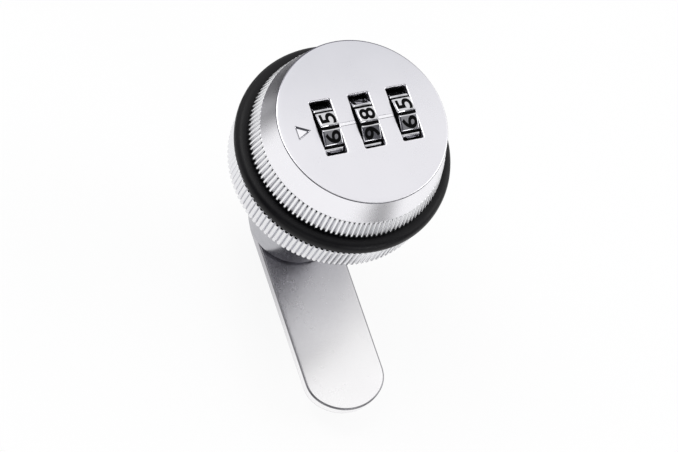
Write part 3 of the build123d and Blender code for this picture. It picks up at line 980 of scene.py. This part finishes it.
@dataclass
class Dial:
    """One code dial: ten pillowed facets, grooves painted black as shade between them and a digit
    on each.
    """

    number: int
    centre: float
    shown: int
    groove_angle: float
    body: Body
    axle_height: float = 8.5
    radius: float = 6.4
    width: float = 3.8
    bore: float = 1.3
    edge: float = 0.3
    groove_width: float = 0.8
    groove_depth: float = 0.6
    positions: int = 10
    digit_height: float = 3.15
    digit_width: float = 2.5
    one_width_share: float = 0.55
    digit_weight: float = 0.022
    digit_lift: float = 0.012

    def pad(self) -> tuple[float, float, float]:
        """Gives a facet's distance from the axle, its half length and half its turn."""
        half = pi / self.positions
        return self.radius * cos(half), self.radius * sin(half) - self.groove_width / 2, half

    def facet_angle(self, k: int) -> float:
        """Gives the angle of one facet about the axle."""
        return radians(self.groove_angle) + pi / self.positions * (2 * k - 1)

    def stations(self, half: float) -> list[float]:
        """Lists places from side to side, close together on the rounded edges."""
        near = [-half + self.edge * share for share in (0.0, 0.3, 0.65, 1.0)]
        return [*near, 0.0, *(-s for s in reversed(near))]

    def place(self, x: float, along: float, out: float, angle: float) -> Point:
        """Places a point of a facet.

        Args:
            x: Along the axle from the dial's middle.
            along: Along the facet, towards the next digit.
            out: Distance from the axle.
            angle: The facet's angle about the axle.

        Returns:
            The point.
        """
        y = out * cos(angle) - along * sin(angle)
        z = out * sin(angle) + along * cos(angle)
        return self.centre + x, y, self.axle_height + z

    def section(self, x: float) -> tuple[list[Point], list[int]]:
        """Draws the dial's outline at one place along its axle.

        Args:
            x: That place, from the dial's middle.

        Returns:
            The outline, and the finish of the face that follows each point.
        """
        reach, half, half_angle = self.pad()
        flat = half - self.edge
        side = max(0.0, abs(x) - (self.width / 2 - self.edge))
        points: list[Point] = []
        finish: list[int] = []
        for k in range(self.positions):
            angle = self.facet_angle(k)
            for s in self.stations(half):
                q = min(self.edge, hypot(max(0.0, abs(s) - flat), side))
                drop = self.edge - sqrt(self.edge**2 - q**2)
                points.append(self.place(x, s, reach - drop, angle))
                finish.append(Area.MAIN)
            # The groove's walls and floor are painted black as shade
            finish[-1] = Area.DETAIL
            corner = angle + half_angle
            floor = self.radius - self.groove_depth
            for s in (-self.groove_width / 2, self.groove_width / 2):
                points.append(self.place(x, s, floor, corner))
                finish.append(Area.DETAIL)
        return points, finish

    def build(self, finishes: Finishes) -> bpy.types.Object:
        """Makes the dial.

        Args:
            finishes: The materials.

        Returns:
            The piece.
        """
        draft = Draft()
        half = self.width / 2
        sections = [self.section(x) for x in self.stations(half)]
        rings = [draft.ring(points) for points, _ in sections]
        for near, far in zip(rings, rings[1:]):
            draft.bridge(near, far, sections[0][1])
        bores: list[list[int]] = []
        for x, ring in ((-half, rings[0]), (half, rings[-1])):
            hole: list[Point] = []
            for n in ring:
                _, y, z = draft.points[n]
                scale = self.bore / hypot(y, z - self.axle_height)
                hole.append(
                    (self.centre + x, y * scale, self.axle_height + (z - self.axle_height) * scale)
                )
            bores.append(draft.ring(hole))
            # The dial's sides are painted black as shade
            draft.bridge(ring, bores[-1], Area.DETAIL)
        draft.bridge(*bores)
        materials = finishes.get(DIAL_CHROME, BLACK_PRINT_AND_SHADE)
        name = f"dial_wheel_{self.number}_dressed"
        piece = draft.build(name, materials, self.body, sharp_degrees=34)
        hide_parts(f"dial_wheel_{self.number}")
        return piece

    def digit_outline(self, digit: int) -> tuple[list[Spot], list[tuple[int, ...]]]:
        """Draws a plain digit and fits it to the facet's digit size.

        Args:
            digit: The digit.

        Returns:
            Its points, with its middle at (0, 0), and its faces.
        """
        curve = bpy.data.curves.new("digit", "FONT")
        curve.body = str(digit)
        curve.offset = self.digit_weight
        curve.resolution_u = 6
        holder = bpy.data.objects.new("digit", curve)
        mesh = holder.to_mesh()
        spots = [(v.co.x, v.co.y) for v in mesh.vertices]
        faces = [tuple(p.vertices) for p in mesh.polygons]
        holder.to_mesh_clear()
        bpy.data.objects.remove(holder)
        bpy.data.curves.remove(curve)
        low_x, high_x = min(x for x, _ in spots), max(x for x, _ in spots)
        low_y, high_y = min(y for _, y in spots), max(y for _, y in spots)
        width = self.digit_width * (self.one_width_share if digit == 1 else 1.0)
        fitted = [
            (
                ((x - low_x) / (high_x - low_x) - 0.5) * width,
                ((y - low_y) / (high_y - low_y) - 0.5) * self.digit_height,
            )
            for x, y in spots
        ]
        return fitted, faces

    def build_digits(self, finishes: Finishes) -> bpy.types.Object:
        """Makes the ten enamelled digits, which read with their tops towards the arrow.

        Args:
            finishes: The materials.

        Returns:
            The piece.
        """
        draft = Draft()
        out = self.pad()[0] + self.digit_lift
        for k in range(self.positions):
            angle = self.facet_angle(k)
            spots, faces = self.digit_outline((self.shown + k) % self.positions)
            ring = draft.ring([self.place(-up, -across, out, angle) for across, up in spots])
            for face in faces:
                draft.polygon([ring[n] for n in face])
        piece = draft.build(f"dial_digits_{self.number}", finishes.get(BLACK_PRINT_AND_SHADE), self.body)
        return piece


@dataclass
class Seal:
    """The rubber seal ring: a thin web under the flange and a round-edged bead."""

    inner: float = 9.8
    web: float = 0.6
    bead_inner: float = 17.5
    radius: float = 21.79
    height: float = 2.2
    bead_round: float = 1.75
    bead_lip: float = 0.15
    foot: float = 0.4
    count: int = 240

    def build(self, finishes: Finishes) -> bpy.types.Object:
        """Makes the seal ring.

        Args:
            finishes: The materials.

        Returns:
            The piece.
        """
        profile = soften(
            [
                (self.inner, self.web, 0),
                (self.bead_inner, self.web, 0),
                (self.bead_inner, self.height, self.bead_lip),
                (self.radius, self.height, self.bead_round),
                (self.radius, 0.0, self.foot),
                (self.inner, 0.0, 0),
            ],
            steps=6,
        )
        draft = Draft()
        rings = [draft.ring(ring) for ring in turned(profile, self.count)]
        for near, far in zip(rings, [*rings[1:], rings[0]]):
            draft.bridge(near, far)
        materials = finishes.get(SEAL_RUBBER)
        piece = draft.build("gasket_dressed", materials, Body.BARREL, sharp_degrees=40)
        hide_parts("gasket")
        return piece


@dataclass
class RingNut:
    """The knurled ring nut: a cup whose hub runs on the barrel."""

    radius: float = 21.0
    top: float = -2.1
    bottom: float = -7.8
    edge: float = 0.3
    inner_band: float = 0.05
    wall: float = 1.8
    floor: float = 2.2
    hub_radius: float = 13.0
    bore: float = 9.5
    bore_chamfer: float = 0.3
    grooves: int = 120
    groove_width: float = 0.62
    groove_depth: float = 0.42

    def build(self, finishes: Finishes) -> bpy.types.Object:
        """Makes the nut.

        Args:
            finishes: The materials.

        Returns:
            The piece.
        """
        knurl = Knurl(self.grooves, self.groove_width, self.groove_depth, self.radius)
        r, top, bottom, edge = self.radius, self.top, self.bottom, self.edge
        plain = r - edge - self.groove_depth - self.inner_band
        soft = edge * 0.3
        rows = [
            (plain, top, 0.0),
            (r - edge, top, 1.0),
            (r - soft, top - soft, 1.0),
            (r, top - edge, 1.0),
            (r, bottom + edge, 1.0),
            (r - soft, bottom + soft, 1.0),
            (r - edge, bottom, 1.0),
            (plain, bottom, 0.0),
            (self.bore + self.bore_chamfer, bottom, 0.0),
            (self.bore, bottom + self.bore_chamfer, 0.0),
            (self.bore, top, 0.0),
            (self.hub_radius, top, 0.0),
            (self.hub_radius, bottom + self.floor, 0.0),
            (r - self.wall, bottom + self.floor, 0.0),
            (r - self.wall, top, 0.0),
        ]
        draft = Draft()
        rings = [draft.ring(knurl.row(*row)) for row in rows]
        # The roots get the chrome painted a little darker as shade
        grooved = knurl.finish_row(Area.MAIN, Area.FLANK, Area.DETAIL)
        for i, (near, far) in enumerate(zip(rings, [*rings[1:], rings[0]])):
            both_grooved = rows[i][2] * rows[(i + 1) % len(rows)][2] == 1.0
            draft.bridge(near, far, grooved if both_grooved else Area.MAIN)
        materials = finishes.get(NUT_CHROME, ROOT_SHADE_CHROME, FLANK_CHROME)
        piece = draft.build("ring_nut_dressed", materials, Body.BARREL, sharp_degrees=36)
        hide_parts("ring_nut")
        return piece


@dataclass
class Barrel:
    """The fixed body: flange and rim in the knob, and a threaded barrel with a flat."""

    flange_radius: float = 17.2
    rim_height: float = 5.4
    rim_bore: float = 12.75
    flange_floor: float = 1.7
    flange_bottom: float = 0.6
    radius: float = 9.5
    flat: float = 8.6
    end: float = -35.2
    chamfer: float = 0.5
    bore: float = 6.1
    thread_top: float = -1.2
    thread_bottom: float = -28.2
    thread_pitch: float = 1.0
    thread_depth: float = 0.5
    thread_shape: tuple[float, ...] = (0.0, 0.0, 0.55, 1.0, 1.0, 0.45)
    count: int = 120

    def on_flat(self, point: Point) -> Point:
        """Moves a point that is beyond the barrel's flat back to it."""
        return point[0], min(point[1], self.flat), point[2]

    def thread(self, draft: Draft) -> None:
        """Cuts the thread as one strip of quads that winds down the barrel.

        Args:
            draft: The barrel's draft.
        """
        steps = len(self.thread_shape)
        turns = (self.thread_top - self.thread_bottom) / self.thread_pitch + 1
        strips: list[list[int]] = []
        for i in range(int(turns * self.count) + 1):
            angle = tau * i / self.count
            start = self.thread_top + self.thread_pitch - self.thread_pitch * i / self.count
            strip: list[Point] = []
            for k in range(steps + 1):
                free = start - self.thread_pitch * k / steps
                z = min(self.thread_top, max(self.thread_bottom, free))
                room = min(self.thread_top - z, z - self.thread_bottom) / self.thread_pitch
                cut = self.thread_depth * self.thread_shape[k % steps] * min(1.0, room)
                r = self.radius - cut
                strip.append(self.on_flat((r * cos(angle), r * sin(angle), z)))
            strips.append(draft.ring(strip))
        for near, far in zip(strips, strips[1:]):
            draft.bridge(near, far, closed=False)

    def build(self, finishes: Finishes) -> bpy.types.Object:
        """Makes the fixed body.

        Args:
            finishes: The materials.

        Returns:
            The piece.
        """
        draft = Draft()
        upper = [
            (self.flange_radius, self.rim_height),
            (self.flange_radius, self.flange_bottom),
            (self.radius, self.flange_bottom),
            (self.radius, self.thread_top),
        ]
        lower = [
            (self.radius, self.thread_bottom),
            (self.radius, self.end + self.chamfer),
            (self.radius - self.chamfer, self.end),
            (self.bore, self.end),
            (self.bore, self.flange_floor),
            (self.rim_bore, self.flange_floor),
            (self.rim_bore, self.rim_height),
            (self.flange_radius, self.rim_height),
        ]
        for profile, plain in ((upper, 2), (lower, 0)):
            rings: list[list[int]] = []
            for i, ring in enumerate(turned(profile, self.count)):
                whole = i < plain or profile[i][0] > self.radius
                rings.append(draft.ring(ring if whole else map(self.on_flat, ring)))
            for (_, height), near, far in zip(profile, rings, rings[1:]):
                # The end chamfer is painted darker as shade between the barrel and the cam
                chamfered = height == self.end + self.chamfer
                draft.bridge(near, far, Area.DETAIL if chamfered else Area.MAIN)
        self.thread(draft)
        materials = finishes.get(BARREL_CHROME, EDGE_SHADE_CHROME)
        piece = draft.build("barrel_body_dressed", materials, Body.BARREL, sharp_degrees=36)
        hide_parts("barrel_body")
        return piece


@dataclass
class Cam:
    """The cam plate: round about the spindle, straight sides, a full round end and soft edges."""

    width: float = 17.0
    thickness: float = 2.4
    top: float = -35.5
    reach: float = 41.6
    end_radius: float = 9.4
    square: float = 8.1
    edge: float = 0.34
    band: float = 0.6
    shoulder_degrees: float = 20.0
    square_corner: float = 0.2
    side_steps: int = 8
    round_steps: int = 32

    def outline(self, inset: float, height: float) -> list[Point]:
        """Draws the plate's outline, its sides drawn smoothly into the round end.

        Args:
            inset: How far inside the plate's edge.
            height: Its place along Z.

        Returns:
            The outline's points.
        """
        half = self.width / 2 - inset
        r = self.end_radius - inset
        centre = self.end_radius - self.reach
        sweep = asin(half / r) - radians(self.shoulder_degrees)
        joint = (half - r * sin(sweep)) / cos(sweep)
        corner_y = centre - r * cos(sweep) + joint * sin(sweep)
        side: list[Spot] = []
        for k in range(self.side_steps + 1):
            t = k / self.side_steps
            x = half * (1 - t**2) + t**2 * (half - joint * cos(sweep))
            y = corner_y + joint * (1 - t) ** 2 - t**2 * joint * sin(sweep)
            side.append((x, y))
        points: list[Point] = []
        for k in range(self.round_steps + 1):
            angle = pi * k / self.round_steps
            points.append((half * cos(angle), half * sin(angle), height))
        points += [(-x, y, height) for x, y in side]
        for k in range(1, self.round_steps):
            angle = 1.5 * pi - sweep + 2 * sweep * k / self.round_steps
            points.append((r * cos(angle), centre + r * sin(angle), height))
        points += [(x, y, height) for x, y in reversed(side)]
        return points

    def build(self, finishes: Finishes) -> bpy.types.Object:
        """Makes the cam plate.

        Args:
            finishes: The materials.

        Returns:
            The piece.
        """
        draft = Draft()
        bottom = self.top - self.thickness
        steps = quarter_round(self.edge, 4)
        rows = [(self.edge + self.band, self.top)]
        rows += [(inset, self.top - drop) for inset, drop in steps]
        rows += [(inset, bottom + drop) for inset, drop in reversed(steps)]
        rows += [(self.edge + self.band, bottom)]
        rings = [draft.ring(self.outline(*row)) for row in rows]
        rounded = {*range(1, len(steps)), *range(len(steps) + 1, 2 * len(steps))}
        # The rounded edges are painted darker as shade
        for i, (near, far) in enumerate(zip(rings, rings[1:])):
            draft.bridge(near, far, Area.DETAIL if i in rounded else Area.MAIN)
        hole = (0, 0, self.square, self.square, self.square_corner)
        holes = [draft.ring(rounded_rectangle(*hole, z)) for z in (self.top, bottom)]
        draft.bridge(*holes)
        draft.fill(rings[0], [holes[0]])
        draft.fill(rings[-1], [holes[1]])
        materials = finishes.get(CAM_NICKEL, CAM_EDGE_SHADE)
        piece = draft.build("cam_plate_dressed", materials, Body.KNOB, sharp_degrees=36)
        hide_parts("cam_plate")
        return piece


@dataclass
class SoftBox:
    """A large soft lamp that faces the lock."""

    name: str
    azimuth: float
    elevation: float
    distance: float
    side: float
    level: float

    def build(self) -> None:
        """Places the lamp, its power worked out from the brightness of its face."""
        a, e = radians(self.azimuth), radians(self.elevation)
        way = Vector((cos(e) * cos(a), cos(e) * sin(a), sin(e)))
        lamp = bpy.data.lights.new(self.name, "AREA")
        lamp.shape = "SQUARE"
        lamp.size = self.side * MM
        lamp.energy = self.level * pi * (self.side * MM) ** 2
        holder = bpy.data.objects.new(self.name, lamp)
        turn = way.to_track_quat("Z", "Y").to_matrix().to_4x4()
        holder.matrix_world = Matrix.Translation(way * self.distance * MM) @ turn
        bpy.context.scene.collection.objects.link(holder)


@dataclass
class Studio:
    """The floor, the soft surroundings, the lamps and the camera."""

    floor_height: float = -43.65
    floor_half: float = 3000.0
    floor_colour: str = "#FFFFFF"
    painted_shade_colour: str = "#1C1C20"
    # Each patch of painted shade on the floor: the way into the patch, and where along it the patch
    # starts and is full
    painted_shades: tuple[tuple[tuple[Spot, float, float], ...], ...] = (
        (
            ((0.179, 0.984), 55.5, 57.0),
            ((-0.179, -0.984), -115.0, -90.0),
            ((0.984, -0.179), -125.0, -100.0),
            ((-0.984, 0.179), -85.0, -60.0),
        ),
        (
            ((-0.963, 0.271), 58.9, 61.0),
            ((0.0, 1.0), 38.0, 66.0),
            ((0.963, -0.271), -135.0, -110.0),
            ((0.0, -1.0), -100.0, -75.0),
        ),
        (
            ((-0.229, -0.973), 48.0, 56.0),
            ((1.0, 0.0), -14.0, 40.0),
            ((-1.0, 0.0), -60.0, -20.0),
            ((0.229, 0.973), -120.0, -95.0),
        ),
    )
    glow: float = 0.88
    sky_bright: str = "#FFFFFF"
    sky_dark: str = "#56565C"
    sky_way: Point = (0.45, 0.893, 0.0)
    sky_ends: Spot = (-0.35, 0.25)
    sky_level: float = 1.0
    lens: float = 143.4
    camera_place: Point = (-202.5, -167.6, 451.1)
    camera_right: Point = (0.905, -0.3123, 0.2888)
    camera_up: Point = (0.188, 0.9027, 0.3871)
    lamps: tuple[SoftBox, ...] = (
        SoftBox("key_softbox", 125, 58, 700, 420, 2.6),
        SoftBox("side_softbox", -15, 35, 800, 420, 1.6),
        SoftBox("front_softbox", -75, 24, 900, 380, 3.5),
        SoftBox("left_softbox", -128, 28, 900, 300, 3.0),
    )

    def floor_material(self) -> bpy.types.Material:
        """Makes the floor's white paper, with dark patches painted on it around the lock as shade
        for the metal to reflect.

        Returns:
            The material.
        """
        material, tree = blank_material("pale_paper_sweep")
        place = add_node(tree, "ShaderNodeTexCoord").outputs["Object"]
        dark: Socket | float = 0.0
        for shade_patch in self.painted_shades:
            share: Socket | float = 1.0
            for way, near, far in shade_patch:
                along = distance_along(tree, place, (*way, 0.0))
                beyond = ramp(tree, along, (near * MM, far * MM))
                share = compute(tree, "MULTIPLY", share, beyond)
            dark = compute(tree, "MAXIMUM", dark, share)
        colour = blend(tree, dark, self.floor_colour, self.painted_shade_colour)
        paper = add_node(tree, "ShaderNodeBsdfDiffuse", {}, {"Color": colour})
        light = add_node(tree, "ShaderNodeEmission", {}, {"Color": colour, "Strength": 1.0})
        path = add_node(tree, "ShaderNodeLightPath").outputs
        seen = compute(tree, "MAXIMUM", path["Is Camera Ray"], path["Is Glossy Ray"])
        seen = compute(tree, "MAXIMUM", seen, path["Is Transmission Ray"])
        amount = compute(tree, "MULTIPLY", seen, self.glow)
        inputs = {0: amount, 1: paper.outputs[0], 2: light.outputs[0]}
        mixed = add_node(tree, "ShaderNodeMixShader", {}, inputs)
        add_node(tree, "ShaderNodeOutputMaterial", {}, {"Surface": mixed.outputs[0]})
        return material

    def build_floor(self) -> None:
        """Lays the floor under the cam's screw."""
        half, z = self.floor_half * MM, self.floor_height * MM
        mesh = bpy.data.meshes.new("floor")
        corners = [(-half, -half, z), (half, -half, z), (half, half, z), (-half, half, z)]
        mesh.from_pydata(corners, [], [(0, 1, 2, 3)])
        mesh.materials.append(self.floor_material())
        floor = bpy.data.objects.new("floor", mesh)
        bpy.context.scene.collection.objects.link(floor)

    def build_sky(self) -> None:
        """Surrounds the lock with a soft light, white behind it and grey before it."""
        world = bpy.data.worlds.new("soft_tent")
        world.use_nodes = True
        tree = world.node_tree
        tree.nodes.clear()
        way = add_node(tree, "ShaderNodeTexCoord").outputs["Generated"]
        share = ramp(tree, distance_along(tree, way, self.sky_way), self.sky_ends)
        colour = blend(tree, share, self.sky_dark, self.sky_bright)
        inputs = {"Color": colour, "Strength": self.sky_level}
        light = add_node(tree, "ShaderNodeBackground", {}, inputs)
        add_node(tree, "ShaderNodeOutputWorld", {}, {"Surface": light.outputs[0]})
        bpy.context.scene.world = world

    def build_camera(self) -> None:
        """Places the camera at the photograph's angle."""
        camera = bpy.data.cameras.new("photo_camera")
        camera.lens = self.lens
        camera.sensor_width = 36.0
        camera.clip_start = 0.01
        camera.clip_end = 20.0
        holder = bpy.data.objects.new("photo_camera", camera)
        right = Vector(self.camera_right).normalized()
        back = right.cross(Vector(self.camera_up)).normalized()
        up = back.cross(right)
        turn = Matrix((right, up, back)).transposed().to_4x4()
        holder.matrix_world = Matrix.Translation(Vector(self.camera_place) * MM) @ turn
        bpy.context.scene.collection.objects.link(holder)
        bpy.context.scene.camera = holder

    def build(self) -> None:
        """Builds the whole studio."""
        self.build_floor()
        self.build_sky()
        for lamp in self.lamps:
            lamp.build()
        self.build_camera()
        bpy.context.scene.view_settings.view_transform = "Standard"


def dress_kept_nodes(frame: dict[str, Any], finishes: Finishes) -> None:
    """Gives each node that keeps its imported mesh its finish.

    Args:
        frame: The loaded frame.
        finishes: The materials.
    """
    for name, finish in KEPT_NODES.items():
        node = frame["nodes"][name]
        for slot in node.material_slots:
            slot.material = finishes.get(finish)[0]
        LOG.info("%s keeps its packed mesh, finished in %s", name, finish.name)


def main() -> None:
    """Loads the frame, builds and dresses each sub-assembly, logs each piece's faces and builds the
    studio.
    """
    logging.basicConfig(level=logging.INFO, format="%(name)s: %(message)s")
    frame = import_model()
    finishes = Finishes()
    dress_kept_nodes(frame, finishes)
    pieces = [builder.build(finishes) for builder in (Knob(), Seal(), RingNut(), Barrel(), Cam())]
    for number, (centre, shown, angle) in enumerate(DIALS, 1):
        dial = Dial(number, centre, shown, angle, Body(f"dial_{number}"))
        pieces += [dial.build(finishes), dial.build_digits(finishes)]
    for piece in pieces:
        LOG.info("%s has %d faces", piece.name, len(piece.data.polygons))
    Studio().build()


if __name__ == "__main__":
    main()
